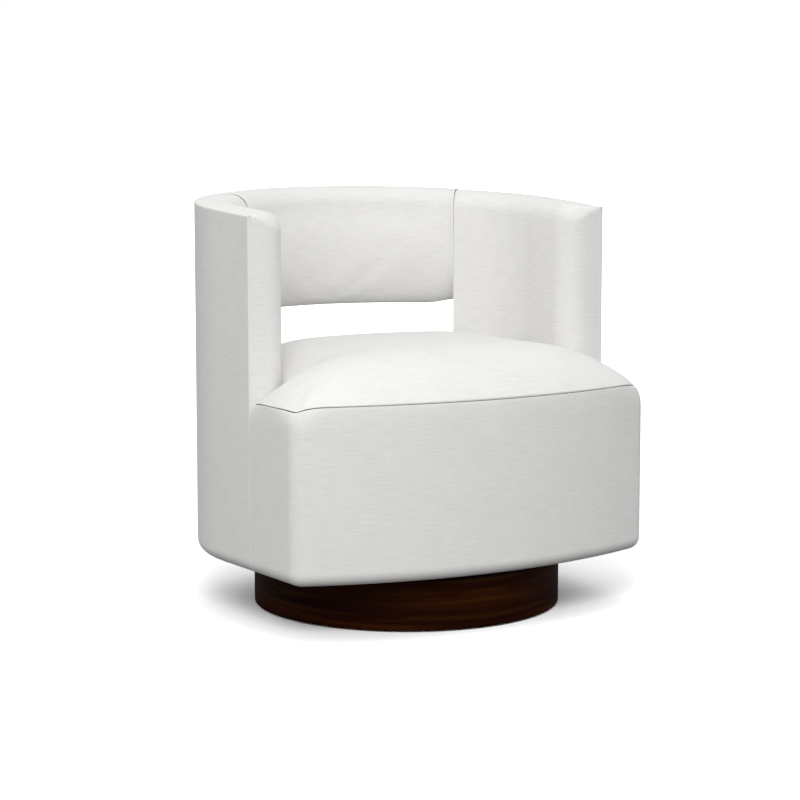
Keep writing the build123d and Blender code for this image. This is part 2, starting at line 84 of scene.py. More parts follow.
class Value:
    """A socket of a node that takes part in Python sums."""

    def __init__(self, network, socket):
        self.network = network
        self.socket = socket

    def math(self, operation, *others):
        terms = dict(enumerate((self, *others)))
        return self.network.node("ShaderNodeMath", terms, operation=operation)

    def __add__(self, other):
        return self.math("ADD", other)

    def __sub__(self, other):
        return self.math("SUBTRACT", other)

    def __rsub__(self, other):
        return self * -1.0 + other

    def __mul__(self, other):
        return self.math("MULTIPLY", other)

    __radd__ = __add__
    __rmul__ = __mul__


class Network:
    """A tree of nodes, built up node by node."""

    def __init__(self, tree):
        self.tree = tree

    def node(self, kind, inputs={}, output=0, stops=(), **settings):
        """The output of a new node, with its settings and its ramp's stops set before its sockets."""
        made = self.tree.nodes.new(kind)
        for name, value in settings.items():
            setattr(made, name, value)
        elements = made.color_ramp.elements if stops else ()
        while len(elements) < len(stops):
            elements.new(1.0)
        for element, (place, colour) in zip(elements, stops):
            element.position = place
            element.color = (*colour, 1)
        for name, value in inputs.items():
            if isinstance(value, Value):
                self.tree.links.new(value.socket, made.inputs[name])
            else:
                made.inputs[name].default_value = value
        return Value(self, made.outputs[output])

    def part(self, vector, axis):
        return self.node("ShaderNodeSeparateXYZ", {0: vector}, axis)


horizon_strength = 0.87
zenith_strength = 0.72
sky = bpy.data.worlds.new("studio")
sky.use_nodes = True
bpy.context.scene.world = sky
backdrop = sky.node_tree.nodes["Background"]
backdrop.inputs["Color"].default_value = (1, 1, 1, 1)
tent = Network(sky.node_tree)
upwards = tent.part(tent.node("ShaderNodeTexCoord", output="Generated"), "Z")
gradient = tent.node(
    "ShaderNodeMapRange", {"Value": upwards, "To Min": horizon_strength, "To Max": zenith_strength}
)
seen = tent.node("ShaderNodeLightPath", output="Is Camera Ray")
reflected = tent.node("ShaderNodeLightPath", output="Is Glossy Ray")
either = seen.math("MAXIMUM", reflected)
strength = tent.node("ShaderNodeMapRange", {"Value": either, "To Min": gradient, "To Max": 1.0})
sky.node_tree.links.new(strength.socket, backdrop.inputs["Strength"])


class Finish(Network):
    """A material of one principled shader."""

    def __init__(self, name, **fixed):
        self.material = bpy.data.materials.new(name)
        self.material.use_nodes = True
        super().__init__(self.material.node_tree)
        self.shader = self.tree.nodes["Principled BSDF"]
        for socket, value in fixed.items():
            self.shader.inputs[socket.replace("_", " ")].default_value = value

    def surface(self, name):
        """The coordinates of the piece: Object for the whole chair's, UV for its cloth's own."""
        return self.node("ShaderNodeTexCoord", output=name)

    def noise(self, place, scale, detail=3.0, distortion=0.0):
        """Noise stretched by three scales, from about 0.3 to 0.7."""
        stretched = self.node("ShaderNodeVectorMath", {0: place, 1: scale}, operation="MULTIPLY")
        return self.node(
            "ShaderNodeTexNoise",
            {"Vector": stretched, "Scale": 1.0, "Detail": detail, "Distortion": distortion},
        )

    def ramp(self, factor, *stops):
        return self.node("ShaderNodeValToRGB", {"Fac": factor}, stops=stops)

    def mixed(self, factor, first, second):
        first, second = [c if isinstance(c, Value) else (*c, 1) for c in (first, second)]
        return self.node("ShaderNodeMix", {0: factor, 6: first, 7: second}, 2, data_type="RGBA")

    def paint(self, **sockets):
        for name, value in sockets.items():
            self.tree.links.new(value.socket, self.shader.inputs[name.replace("_", " ")])

    def raise_by(self, height, depth, strength=1.0):
        """Bump of that depth in metres, where height goes from 0 to 1."""
        bump = {"Height": height, "Distance": depth, "Strength": strength}
        self.paint(Normal=self.node("ShaderNodeBump", bump))


shadow_grey = (0.18, 0.18, 0.18, 1)
shown_near, shown_far = 1.40, 2.4
floor = Finish("studio_floor")
distance = floor.node("ShaderNodeVectorMath", {0: floor.surface("Object")}, 1, operation="LENGTH")
brightness = floor.node(
    "ShaderNodeMapRange", {0: distance, 1: 1.5, 2: 6.0, 3: shown_near, 4: shown_far}
)
real_floor = floor.node("ShaderNodeBsdfDiffuse", {"Color": shadow_grey})
seen_floor = floor.node("ShaderNodeBsdfDiffuse", {"Color": brightness})
by_camera = floor.node("ShaderNodeLightPath")
shown_floor = floor.node("ShaderNodeMixShader", {0: by_camera, 1: real_floor, 2: seen_floor})
floor.tree.links.new(shown_floor.socket, floor.tree.nodes["Material Output"].inputs["Surface"])
reach = 60.0
corners = [(-reach, -reach, 0), (reach, -reach, 0), (reach, reach, 0), (-reach, reach, 0)]
studio_floor = add_mesh("studio_floor", corners, [], [(0, 1, 2, 3)])
studio_floor.data.materials.append(floor.material)

# ---- plinth --------------------------------------------------------------------------------------
# A low drum bent from thin plywood and veneered in dark stained walnut with a satin lacquer. The
# grain runs round it. Its upper edge is eased, and it stands a few millimetres clear on its glides.
swivel_y = -0.0254
plinth_radius = 0.295
plinth_wall = 0.012
plinth_foot = 0.003
plinth_top = 0.095
edge_ease = 0.0015


def make_piece(name, form, finish, body, slot, *replaced):
    """A mesh object in the chair's frame, with its cloth or veneer laid out flat as its UV map."""
    points, faces, cloth = form
    made = add_mesh(name, points, [], faces)
    mesh = made.data
    layout = mesh.uv_layers.new(name="UVMap")
    corner_points = np.zeros(len(mesh.loops), int)
    mesh.loops.foreach_get("vertex_index", corner_points)
    layout.data.foreach_set("uv", np.asarray(cloth, np.float32)[corner_points].ravel())
    mesh.materials.append(finish.material)
    mesh.polygons.foreach_set("use_smooth", [True] * len(mesh.polygons))
    mesh.validate()
    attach(made, body)
    if replaced:
        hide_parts(*replaced)
    return made


walnut = Finish("walnut_veneer", Specular_IOR_Level=0.03)
around = walnut.surface("UV")
figure = walnut.noise(around, (2.2, 26.0, 1.0), 4.0, 0.6)
pores = walnut.noise(around, (26.0, 900.0, 1.0), 2.0)
streaks = walnut.noise(around, (3.4, 74.0, 1.0), 5.0, 0.9)
heart = walnut.ramp(
    figure,
    (0.34, (0.0100, 0.0016, 0.0004)),
    (0.50, (0.0220, 0.0040, 0.0008)),
    (0.66, (0.0390, 0.0098, 0.0014)),
)
amber = walnut.ramp(streaks, (0.50, (0, 0, 0)), (0.74, (1, 1, 1)))
veined = walnut.mixed(amber * 0.5, heart, (0.085, 0.030, 0.003))
walnut.paint(
    Base_Color=walnut.mixed(pores * 0.5, veined, (0.006, 0.0014, 0.0006)),
    Roughness=pores * 0.22 + 0.30,
)
walnut.raise_by(pores, 0.00012, 0.5)

bends = [step * pi / 6 for step in range(4)]
profile = [(plinth_radius - plinth_wall, plinth_foot), (plinth_radius - edge_ease, plinth_foot)]
profile += [
    (plinth_radius - edge_ease * (1 - sin(turn)), plinth_foot + edge_ease * (1 - cos(turn)))
    for turn in bends[1:]
]
profile += [(plinth_radius, z) for z in np.linspace(plinth_foot + 0.006, plinth_top - 0.006, 8)]
profile += [
    (plinth_radius - edge_ease * (1 - cos(turn)), plinth_top - edge_ease * (1 - sin(turn)))
    for turn in bends
]
profile += [
    (plinth_radius - plinth_wall + edge_ease, plinth_top),
    (plinth_radius - plinth_wall, plinth_top - edge_ease),
]
profile = np.array(profile)
turns = 256
angles = np.arange(turns) * 2 * pi / turns
ring = np.stack([np.sin(angles), -np.cos(angles)], 1)
drum_points = np.array([(r * x, swivel_y + r * y, z) for r, z in profile for x, y in ring])
length_up = np.r_[0, np.cumsum(np.hypot(*np.diff(profile, axis=0).T))]
drum_faces = []
for row in range(len(profile)):
    above = (row + 1) % len(profile)
    for i in range(turns):
        j = (i + 1) % turns
        drum_faces.append((row * turns + i, row * turns + j, above * turns + j, above * turns + i))
drum_layout = [
    (abs(angle - pi) * plinth_radius, height) for height in length_up for angle in angles
]
form = drum_points, drum_faces, drum_layout
make_piece("walnut_plinth", form, walnut, "base", "walnut", "plinth_drum")


def give(finish, *names):
    """Puts a finish on solids whose shape stays as it is."""
    for name in names:
        for place in nodes[name].material_slots:
            place.material = finish.material


# ---- base, frame timber --------------------------------------------------------------------------
# The rings, rails and boards are sawn from birch plywood, eighteen millimetres thick, and show its
# glued layers at their edges. Posts, legs and blocks are planed hardwood, glued and screwed.
layer_pitch = 0.0028
plywood = Finish("birch_plywood", Roughness=0.62)
inside = plywood.surface("Object")
layers = (plywood.part(inside, "Z") * (2 * pi / layer_pitch)).math("SINE")
facing = plywood.node("ShaderNodeNewGeometry", output="Normal")
flat = plywood.part(facing, "Z").math("ABSOLUTE")
ply_grain = plywood.noise(inside, (8.0, 160.0, 30.0), 4.0, 0.4)
face_veneer = plywood.ramp(ply_grain, (0.35, (0.50, 0.34, 0.19)), (0.65, (0.66, 0.50, 0.32)))
edge_layers = plywood.mixed(layers * 0.5 + 0.5, (0.33, 0.20, 0.10), (0.62, 0.46, 0.28))
plywood.paint(
    Base_Color=plywood.mixed(flat, edge_layers, face_veneer), Roughness=ply_grain * 0.3 + 0.45
)
plywood.raise_by(ply_grain, 0.0003, 0.5)

hardwood = Finish("planed_hardwood", Roughness=0.6)
wood_grain = hardwood.noise(hardwood.surface("Object"), (90.0, 90.0, 7.0), 4.0, 0.8)
hardwood.paint(
    Base_Color=hardwood.ramp(
        wood_grain, (0.32, (0.34, 0.21, 0.10)), (0.5, (0.50, 0.34, 0.18)), (0.7, (0.58, 0.42, 0.25))
    ),
    Roughness=wood_grain * 0.4 + 0.35,
)
hardwood.raise_by(wood_grain, 0.0004, 0.6)

give(
    plywood, "plinth_board", "plinth_foot_ring", "swivel_board", "bottom_ring", "seat_ring",
    "arm_top_rails", "roll_top_rail", "roll_lower_rail", "sill_rail"
)
give(
    hardwood, "plinth_glue_blocks", "cross_rails", "frame_legs", "corner_blocks",
    "arm_front_posts", "window_posts", "roll_posts", "sill_posts"
)

# ---- glides and ball cage ------------------------------------------------------------------------
# Six glides and the cage that spaces the bearing's balls are moulded in black nylon, with a fine
# spark-eroded texture.
nylon = Finish("moulded_nylon", Specular_IOR_Level=0.4)
texture = nylon.noise(nylon.surface("Object"), (900.0, 900.0, 900.0), 2.0)
nylon.paint(
    Base_Color=nylon.mixed(texture, (0.030, 0.030, 0.032), (0.055, 0.055, 0.057)),
    Roughness=texture * 0.2 + 0.42,
)
nylon.raise_by(texture, 0.0001, 0.5)
give(nylon, "floor_glides", "ball_cage")

# ---- swivel and fasteners ------------------------------------------------------------------------
# The swivel's two pressed plates are powder coated black. Its balls and bolts, the screws, tee nuts
# and springs are bright zinc-plated steel, and the springs sit in clips on the seat ring.
powder_coat = Finish("black_powder_coat", Specular_IOR_Level=0.5)
orange_peel = powder_coat.noise(powder_coat.surface("Object"), (420.0, 420.0, 420.0), 2.0)
powder_coat.paint(
    Base_Color=powder_coat.mixed(orange_peel, (0.016, 0.016, 0.017), (0.028, 0.028, 0.030)),
    Roughness=orange_peel * 0.25 + 0.34,
)
powder_coat.raise_by(orange_peel, 0.00015, 0.6)
give(powder_coat, "swivel_lower_plate", "swivel_upper_plate", "swivel_kingpin")

zinc = Finish("zinc_plated_steel", Metallic=1.0)
spangle = zinc.noise(zinc.surface("Object"), (260.0, 260.0, 260.0), 3.0)
zinc.paint(
    Base_Color=zinc.mixed(spangle, (0.44, 0.45, 0.46), (0.66, 0.67, 0.69)),
    Roughness=spangle * 0.3 + 0.2,
)
zinc.raise_by(spangle, 0.00006, 0.4)
give(zinc, "swivel_lower_screws", "swivel_bolts", "tee_nuts", "cross_rail_screws", "swivel_balls")
give(zinc, "seat_springs", "spring_clips")

# ---- bent hardboard ------------------------------------------------------------------------------
# Tempered hardboard, four millimetres thick, is bent round the frame to carry the outside cloth. It
# is dark brown, with loose pale fibres in its smooth face.
hardboard = Finish("tempered_hardboard", Roughness=0.7)
pulp = hardboard.noise(hardboard.surface("Object"), (380.0, 380.0, 380.0), 5.0)
hardboard.paint(
    Base_Color=hardboard.ramp(
        pulp, (0.35, (0.17, 0.095, 0.05)), (0.55, (0.26, 0.16, 0.09)), (0.72, (0.38, 0.26, 0.16))
    ),
    Roughness=pulp * 0.4 + 0.45,
)
hardboard.raise_by(pulp, 0.0002, 0.6)
give(hardboard, "outer_board_left", "outer_board_right", "outer_board_lower_back")
give(hardboard, "outer_board_roll", "front_board")

# ---- spring felt and seat foam -------------------------------------------------------------------
# Grey needled felt lies on the springs, and a block of cream foam on the felt. Both are cut to the
# seat's T: as wide as the chair in front of the arms, and round between the arms and the back.
half_width = 0.3937
half_depth = 0.3556
back_flatness = 0.0473
window_end = radians(49.25)
side_lean = radians(3.1)
arm_front = -0.125
bow_radius = 0.9906
corner_round = 0.032
wall_thickness = 0.086
soft_gap = 0.0004
tuck_inset = wall_thickness + soft_gap
pad_inset = 0.0124

back_radius = half_width + back_flatness
back_centre = half_depth - back_radius
shoulder_x = back_flatness * cos(window_end) / (1 - cos(window_end))
shoulder_radius = half_width - shoulder_x
shoulder_y = back_centre + shoulder_x * tan(window_end)
bow_centre = bow_radius - half_depth
side_way = np.array([sin(side_lean), cos(side_lean)])
side_out = np.array([cos(side_lean), -sin(side_lean)])
arm_corner = np.array(
    [shoulder_x + (shoulder_radius + (arm_front - shoulder_y) * sin(side_lean)) / cos(side_lean),
     arm_front]
)
straight_end = (shoulder_y - shoulder_radius * sin(side_lean) - arm_front) / cos(side_lean)
arm_end = straight_end + shoulder_radius * (window_end + side_lean)
back_middle = arm_end + back_radius * (pi / 2 - window_end)
back_end = 2 * back_middle - arm_end


def line_and_arcs(s, inset, way, *arcs):
    """Points on the straight of the side and, from where each of them starts, on its arcs."""
    turn = np.full(s.shape, -side_lean)
    line = arm_corner + way * s[..., None] * side_way
    for start, centre, radius, first_turn in arcs:
        turn = np.where(s > start, first_turn + way * (s - start) / radius, turn)
        out = np.stack([np.cos(turn), np.sin(turn)], -1)
        line = np.where((s > start)[..., None], centre + radius * out, line)
    return line - inset[..., None] * out


def barrel(distance, inset):
    """Points on the chair's right side and back, by their distance from the arm's front corner."""
    s, inset = np.broadcast_arrays(np.asarray(distance, float), inset)
    shoulder = (straight_end, np.array([shoulder_x, shoulder_y]), shoulder_radius, -side_lean)
    back = (arm_end, np.array([0, back_centre]), back_radius, window_end)
    return line_and_arcs(s, inset, 1, shoulder, back)


corner_run = 0.1
for _ in range(60):
    corner_centre = arm_corner - corner_run * side_way - corner_round * side_out
    from_bow_centre = sqrt(corner_centre[0] ** 2 + (corner_centre[1] - bow_centre) ** 2)
    miss = from_bow_centre - (bow_radius - corner_round)
    corner_run -= miss
corner_start = -side_lean
corner_stop = atan2(corner_centre[1] - bow_centre, corner_centre[0])
corner_length = corner_round * (corner_start - corner_stop)
bow_start = corner_run + corner_length
bow_length = bow_radius * (corner_stop + pi / 2)
front_middle = bow_start + bow_length
corner_middle = corner_run + corner_length / 2


def front(distance, inset):
    """Points on the front block, from the right arm's front corner round to the left one's."""
    s, inset = np.broadcast_arrays(np.asarray(distance, float), inset)
    mirrored = s > front_middle
    corner = (corner_run, corner_centre, corner_round, corner_start)
    bow = (bow_start, np.array([0, bow_centre]), bow_radius, corner_stop)
    line = line_and_arcs(np.where(mirrored, 2 * front_middle - s, s), inset, -1, corner, bow)
    line[..., 0] = np.where(mirrored, -line[..., 0], line[..., 0])
    return line


def close_to_ends(count):
    """Steps from 0 to 1 that are finer near both ends."""
    t = np.linspace(0, 1, count)
    return t - 0.75 * np.sin(2 * pi * t) / (2 * pi)


def draw_in(distance):
    """How far the seat's seam is drawn in from the outer line, most at the corners of the T."""
    s = np.minimum(distance, 2 * front_middle - distance)
    corner = (s - corner_middle) / 0.042
    return 0.0025 + 0.0095 * np.exp(-(corner**2)) + 0.008 * np.exp(-((s / 0.03) ** 2))


def coons(low, high, left, right):
    """The net of points between four edges that meet at their ends."""
    u = np.linspace(0, 1, len(low))[:, None, None]
    v = np.linspace(0, 1, len(left))[None, :, None]
    return (
        (1 - v) * low[:, None] + v * high[:, None] + (1 - u) * left[None] + u * right[None]
        - (1 - u) * (1 - v) * low[0] - u * (1 - v) * low[-1] - (1 - u) * v * high[0] - u * v * high[-1]
    )


def along(path, start, stop, steps, inset):
    return path(start + (stop - start) * steps, inset)


def seat_nets(inset, fineness, drawn):
    """Four nets that cover the seat's T: the right and left wings, the front, and the rear."""

    def rim(start, stop, steps):
        s = start + (stop - start) * steps
        return front(s, inset + drawn * draw_in(s))

    across = close_to_ends(int(25 * fineness))
    wing = close_to_ends(int(23 * fineness))
    deep = close_to_ends(int(61 * fineness))
    fold = arm_front - soft_gap
    inner = barrel(-tuck_inset * tan(side_lean), tuck_inset)
    inner = np.array([inner[0], fold])
    bow_turn = np.arccos(inner[0] / (bow_radius - inset))
    inner_bow = bow_start + bow_radius * (corner_stop + bow_turn)
    low = rim(inner_bow, corner_middle, wing)
    right = rim(corner_middle, 0.0, across)
    right[-1] = (right[-1][0], fold)
    left = low[0] + (inner - low[0]) * across[:, None]
    high = inner + (right[-1] - inner) * wing[:, None]
    right_wing = coons(low, high, left, right)
    left_wing = right_wing[::-1] * (-1, 1)
    bow = rim(2 * front_middle - inner_bow, inner_bow, deep)
    line = (inner * (-1, 1)) + (inner - inner * (-1, 1)) * deep[:, None]
    middle = coons(bow, line, left * (-1, 1), left)
    side = along(barrel, 0.0, arm_end, across, tuck_inset)
    side = side + (inner - side[0]) * ((1 - across) ** 3)[:, None]
    back = along(barrel, back_end, arm_end, deep, tuck_inset)
    rear = coons(line, back, side * (-1, 1), side)
    return [left_wing, middle, right_wing, rear]


def edge_place(points, edge):
    """How far each point in plan lies from a line of points, and how far along that line."""
    flat_points = points.reshape(-1, 2)
    nearest = np.full(len(flat_points), np.inf)
    place = np.zeros(len(flat_points))
    for i, (a, b) in enumerate(zip(edge[:-1], edge[1:])):
        way = b - a
        t = np.clip(((flat_points - a) @ way) / max(way @ way, 1e-12), 0, 1)
        away = np.hypot(*(flat_points - a - t[:, None] * way).T)
        place = np.where(away < nearest, i + t, place)
        nearest = np.minimum(nearest, away)
    shape = points.shape[:-1]
    return nearest.reshape(shape), place.reshape(shape) / (len(edge) - 1)


def edge_distance(points, edge):
    return edge_place(points, edge)[0]


def roll(distance, radius):
    """How far a rounded edge drops at a distance from its outermost line."""
    near = np.clip(radius - distance, 0, radius)
    return radius - np.sqrt(np.maximum(radius**2 - near**2, 0))


def weld(nets, layouts):
    """One sheet of points and faces from nets that share their edges."""
    points = np.concatenate([net.reshape(-1, 3) for net in nets])
    cloth = np.concatenate([layout.reshape(-1, 2) for layout in layouts])
    _, first, same = np.unique(np.round(points, 6), axis=0, return_index=True, return_inverse=True)
    same = same.ravel()
    faces = []
    start = 0
    for net in nets:
        rows, columns = net.shape[:2]
        number = same[start:start + rows * columns].reshape(rows, columns)
        start += rows * columns
        quads = np.stack(
            [number[:-1, :-1], number[1:, :-1], number[1:, 1:], number[:-1, 1:]], -1
        ).reshape(-1, 4)
        for quad in quads.tolist():
            corners = [c for i, c in enumerate(quad) if c != quad[i - 1]]
            if len(set(corners)) > 2 and len(set(corners)) == len(corners):
                faces.append(tuple(corners))
    return points[first], faces, cloth[first]


def open_border(faces):
    """The edges that have a face on one side only."""
    edges = {(a, b): True for face in faces for a, b in zip(face, face[1:] + face[:1])}
    return [(a, b) for a, b in edges if (b, a) not in edges]


def close_form(form, backs, lips=None):
    """Adds the hidden side of a form and the band round its edge, by way of a lip turned under."""
    points, faces, cloth = form
    count = len(points)
    border = open_border(faces)
    hidden = [tuple(i + count for i in reversed(face)) for face in faces]
    if lips is None:
        band = [(b, a, a + count, b + count) for a, b in border]
        return np.concatenate([points, backs]), faces + hidden + band, np.concatenate([cloth, cloth])
    rim = {a: 2 * count + i for i, (a, b) in enumerate(border)}
    band = [(b, a, rim[a], rim[b]) for a, b in border]
    band += [(rim[b], rim[a], a + count, b + count) for a, b in border]
    turned = [a for a, b in border]
    return (
        np.concatenate([points, backs, lips[turned]]),
        faces + hidden + band,
        np.concatenate([cloth, cloth, cloth[turned]]),
    )


def seat_edges(inset, drawn):
    """The seat's T in two lines: its seam round the front, and its tucked edge behind that."""
    side = barrel(np.linspace(0, arm_end, 60), tuck_inset)
    back = barrel(np.linspace(arm_end, back_end, 60), tuck_inset)
    s = np.linspace(0, 2 * front_middle, 400)
    seam = front(s, inset + drawn * draw_in(s))
    fold = arm_front - soft_gap
    seam[0, 1] = seam[-1, 1] = fold
    inner = np.array([(side[0, 0], fold)])
    left_side = np.concatenate([inner, side[1:]]) * (-1, 1)
    tucked = np.concatenate([seam[-1:], left_side, back[::-1], side[::-1][:-1], inner, seam[:1]])
    return seam, tucked


def slab(name, low, high, round_edge, finish, slot, *replaced):
    """A flat pad in the seat's T, from one height to another, with its upper edge rounded."""
    nets = seat_nets(pad_inset, 0.6, 0.0)
    outline = np.concatenate(seat_edges(pad_inset, 0.0))
    lifted = [np.dstack([net, high - roll(edge_distance(net, outline), round_edge)]) for net in nets]
    form = weld(lifted, nets)
    backs = form[0] * (1, 1, 0) + (0, 0, low)
    return make_piece(name, close_form(form, backs), finish, "seat", slot, *replaced)


felt = Finish("needled_felt", Roughness=1.0, Sheen_Weight=0.3, Sheen_Roughness=0.6)
wool = felt.noise(felt.surface("Object"), (520.0, 520.0, 900.0), 5.0)
felt.paint(Base_Color=felt.mixed(wool, (0.20, 0.20, 0.21), (0.48, 0.48, 0.49)))
felt.raise_by(wool, 0.0008, 0.7)

foam = Finish("seat_foam", Roughness=1.0)
cells = foam.noise(foam.surface("Object"), (700.0, 700.0, 700.0), 2.0)
foam.paint(Base_Color=foam.ramp(cells, (0.35, (0.60, 0.50, 0.30)), (0.6, (0.83, 0.76, 0.56))))
foam.raise_by(cells, 0.0006, 0.7)

felt_pad = slab("spring_pad", 0.3424, 0.3484, 0.002, felt, "felt", "spring_felt")
foam_block = slab("foam_block", 0.3486, 0.4046, 0.004, foam, "foam", "seat_foam")

# ---- linen ---------------------------------------------------------------------------------------
# The cover is a plain off-white weave with the look of linen: fine threads, with thicker slubs that
# run across the cloth in short streaks, a few along it, and a faint unevenness of tone.
weft_pitch, warp_pitch = 0.0011, 0.0012
linen = Finish("off_white_linen", Roughness=0.92, Sheen_Weight=0.12, Sheen_Roughness=0.45)
linen.shader.inputs["Specular IOR Level"].default_value = 0.25
laid = linen.surface("UV")
slubs = linen.noise(laid, (26.0, 420.0, 1.0), 4.0, 0.2)
threads = linen.noise(laid, (520.0, 18.0, 1.0), 3.0)
cloud = linen.noise(laid, (9.0, 9.0, 1.0), 3.0)
weft = (linen.part(laid, "X") * (2 * pi / weft_pitch)).math("SINE")
warp = (linen.part(laid, "Y") * (2 * pi / warp_pitch)).math("SINE")
yarns = weft * warp * 0.5 + 0.5
tone = slubs * 0.62 + threads * 0.22 + cloud * 0.16
linen.paint(
    Base_Color=linen.ramp(
        tone,
        (0.36, (0.700, 0.692, 0.673)),
        (0.50, (0.742, 0.735, 0.718)),
        (0.64, (0.776, 0.770, 0.755)),
    )
)
linen.raise_by(slubs * 0.6 + yarns * 0.25 + threads * 0.15, 0.0005, 0.35)

# ---- seat top ------------------------------------------------------------------------------------
# One crowned T-shaped panel of linen over wadding and foam. It swells from its seams, rolls down at
# the front seam, and tucks in against the arms and the back.
seat_edge = 0.405
crown_top = 0.5123
crown_crest = 0.190
crown_rise = 0.0863
crown_fall = 0.0182
crown_lean = 0.0940
lean_power = 3.84
arm_hollow = 0.0260
hollow_run = 0.0600
seam_round = 0.0012
tuck_round = 0.010
cover_inset = 0.0006
lip_inset = 0.006


def eased(share):
    """A share from 0 to 1 that leaves 0 and meets 1 gently."""
    share = np.clip(share, 0, 1)
    return share * share * (3 - 2 * share)


def crown(x, y):
    """Height of the seat: an arch over its width that blends into one that follows the bowed front,
    with a hollow along the arms."""
    reach = bow_radius - np.hypot(x, y - bow_centre)
    slope = np.clip(1 - reach / crown_crest, 0, None) ** 2
    flat = 0.05**1.5
    rise = crown_rise * ((slope + 0.05) ** 1.5 - flat) / (1.05**1.5 - flat)
    fall = crown_fall * np.clip((y + 0.120) / 0.390, 0, None) ** 2
    lean = crown_lean * (np.abs(x) / 0.388) ** lean_power
    level = crown_top - np.sqrt(np.maximum(rise + fall, 0) ** 2 + lean**2 + 1e-9)
    wall = np.minimum(0.307 + 0.0542 * y - np.abs(x), 0.355 - np.hypot(x, y + 0.0854))
    beside = eased((y + 0.175) / 0.060)
    return level - arm_hollow * np.exp(-((np.clip(wall, 0, None) / hollow_run) ** 2)) * beside


def seam_height(distance):
    """Height of the seam: higher round the front than along the sides, and lowest at the corners."""
    s = np.minimum(distance, 2 * front_middle - distance)
    corner = s - corner_middle
    on_bow = 1 / (1 + np.exp(-corner / 0.012))
    dip = 0.0055 * np.exp(-((corner / 0.03) ** 2)) + 0.0045 * np.exp(-((s / 0.02) ** 2))
    return 0.4222 + 0.0065 * on_bow - dip


def normals(net):
    """Outward directions at a net's points."""
    along_u = np.gradient(net, axis=0)
    along_v = np.gradient(net, axis=1)
    out = np.cross(along_u, along_v)
    return out / np.maximum(np.linalg.norm(out, axis=-1, keepdims=True), 1e-9)


def carried(points, nets, values):
    """The values at these points, out of values that lie on the points of nets."""
    found = {}
    for net, given in zip(nets, values):
        keys = map(tuple, np.round(net.reshape(-1, 3), 6))
        found.update(zip(keys, given.reshape(-1, given.shape[-1])))
    return np.array([found[tuple(p)] for p in np.round(points, 6)])


def swell(nets, layouts, pressure, most):
    """Lets the cloth of these nets swell under pressure with its border held, and says how far each
    point moved, but never more than most."""
    points, faces, _ = weld(nets, layouts)
    cloth_object = add_mesh("swelling", points, [], faces)
    mesh = cloth_object.data
    held = cloth_object.vertex_groups.new(name="held")
    held.add(sorted({i for edge in open_border(faces) for i in edge}), 1.0, "REPLACE")
    cloth = cloth_object.modifiers.new("cloth", "CLOTH")
    settings = {
        "quality": 6, "mass": 0.35, "tension_stiffness": 20, "compression_stiffness": 20,
        "shear_stiffness": 8, "bending_stiffness": 1.5, "tension_damping": 12,
        "compression_damping": 12, "shear_damping": 12, "air_damping": 2, "use_pressure": True,
        "uniform_pressure_force": pressure, "vertex_group_mass": "held",
    }
    for setting, value in settings.items():
        setattr(cloth.settings, setting, value)
    cloth.settings.effector_weights.gravity = 0
    cloth.collision_settings.use_collision = False
    cloth.point_cache.frame_end = 20
    for number in range(1, 21):
        bpy.context.scene.frame_set(number)
    settled = cloth_object.evaluated_get(bpy.context.evaluated_depsgraph_get())
    moved = np.zeros(len(points) * 3)
    settled.data.vertices.foreach_get("co", moved)
    moved = moved.reshape(-1, 3) - points
    bpy.context.scene.frame_set(1)
    bpy.data.objects.remove(cloth_object)
    bpy.data.meshes.remove(mesh)
    furthest = np.linalg.norm(moved, axis=1).max()
    moved *= min(1.0, most / max(furthest, 1e-9))
    return [carried(net.reshape(-1, 3), [points], [moved]).reshape(net.shape) for net in nets]


panel = seat_nets(cover_inset, 1.6, 1.0)
seam, tucked = seat_edges(cover_inset, 1.0)
lifted = [np.dstack([net, crown(net[..., 0], net[..., 1])]) for net in panel]
shifts = swell(lifted, panel, 1.2, 0.004)
for net, shift, flat_net in zip(lifted, shifts, panel):
    near, share = edge_place(flat_net, seam)
    there = seam[np.rint(share * (len(seam) - 1)).astype(int)]
    level = seam_height(share * 2 * front_middle) - crown(there[..., 0], there[..., 1])
    rounded = np.maximum(roll(near, seam_round), roll(edge_distance(flat_net, tucked), tuck_round))
    net += shift
    net[..., 2] += level * np.exp(-((near / 0.035) ** 2))
    net[..., 2] -= rounded
form = weld(lifted, panel)
points = form[0]
under = carried(points, lifted, seat_nets(lip_inset, 1.6, 1.0))
lips = np.column_stack([under, points[:, 2] - 0.0002])
backs = np.column_stack([under, np.full(len(points), seat_edge)])
form = close_form(form, backs, lips)
seat_top = make_piece("seat_cushion_top", form, linen, "seat", "linen", "seat_top")

# ---- front cover ---------------------------------------------------------------------------------
# The band of linen under the seat's seam. It goes from one arm's seam round the front to the other,
# over wadding and bent hardboard, and is turned under the frame at its foot.
body_bottom = 0.105
tuck = 0.024
hem = 0.030
hem_row = 15
cover_thickness = 0.0065
all_but_foot = ("ulow", "uhigh", "vhigh")
all_round = ("ulow", "uhigh", "vlow", "vhigh")


def spread(length, spacing, fine=0.0008, fine_run=0.006):
    """Places along a length, close together near both ends."""
    edge = np.arange(0, fine_run, fine)
    count = max(2, int((length - 2 * fine_run) / spacing))
    body = np.linspace(fine_run, length - fine_run, count + 1)
    return np.concatenate([edge, body, (length - edge)[::-1]])


def run_length(net, axis):
    """Length from the first point along one way of a net."""
    steps = np.linalg.norm(np.diff(net, axis=axis), axis=-1)
    start = np.zeros_like(np.take(steps, [0], axis=axis))
    return np.cumsum(np.concatenate([start, steps], axis), axis)


